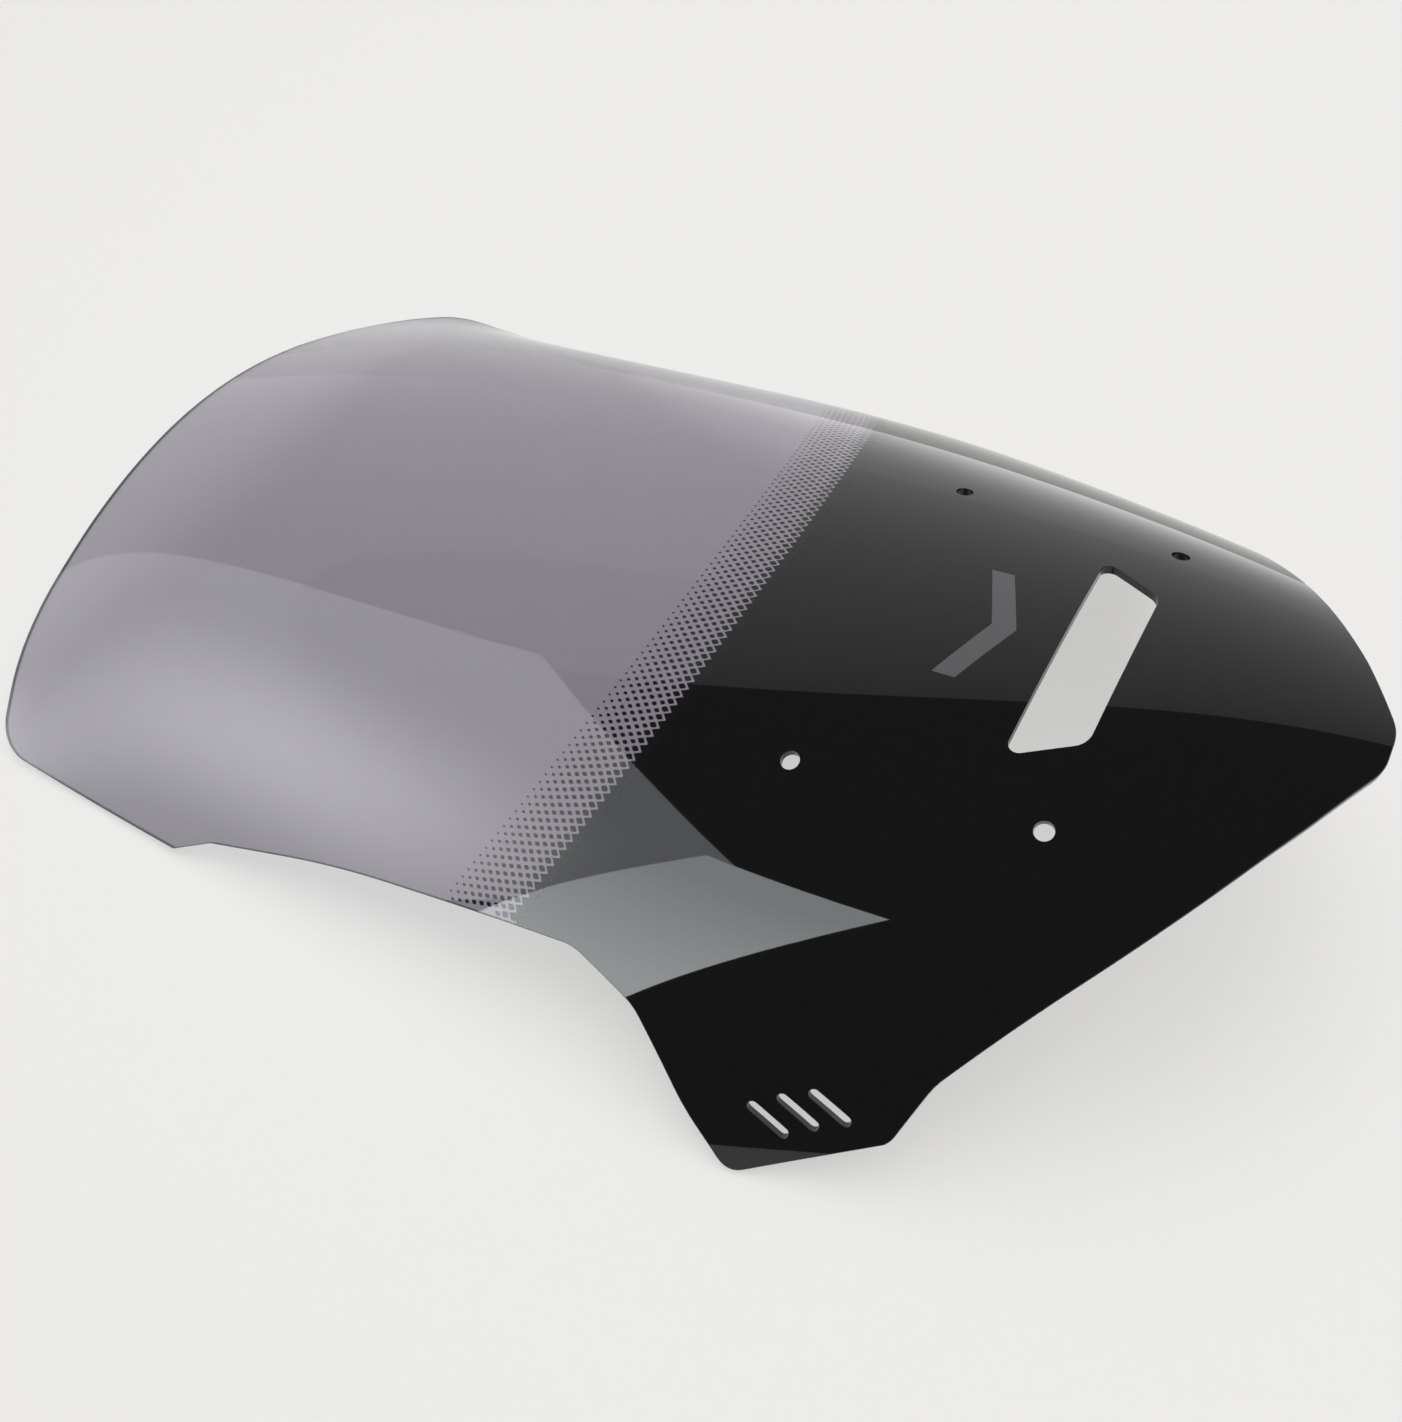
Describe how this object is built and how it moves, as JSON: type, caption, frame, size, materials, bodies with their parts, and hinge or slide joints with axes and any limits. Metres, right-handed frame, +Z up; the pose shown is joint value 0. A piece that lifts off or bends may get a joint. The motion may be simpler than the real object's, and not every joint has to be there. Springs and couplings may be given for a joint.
{
  "type": "motorcycle windshield screen",
  "caption": "Formed smoke-tinted motorcycle windshield screen with a gloss black lower print, halftone fade, mounting holes, a vent and slotted side ears.",
  "frame": {"origin": "centre of the footprint, on the surface that the screen lies on, convex side up", "axes": "+X from the rider's upper edge to the nose at the fairing, +Y across to the motorcycle's left, +Z up out of the convex face; mirror symmetrical about the XZ plane"},
  "size_m": [0.5028, 0.3466, 0.105],
  "materials": {
    "smoke_acrylic": "clear smoke-tinted, high gloss",
    "black_ink": "opaque black print seen through glossy acrylic",
    "dot_ink": "opaque dark dots seen through glossy acrylic",
    "grey_ink": "opaque grey print seen through glossy acrylic"
  },
  "bodies": {
    "root": {"screen_sheet": "smoke_acrylic", "black_print": "black_ink", "fade_dots": "dot_ink", "badge_print": "grey_ink"}
  },
  "joints": []
}
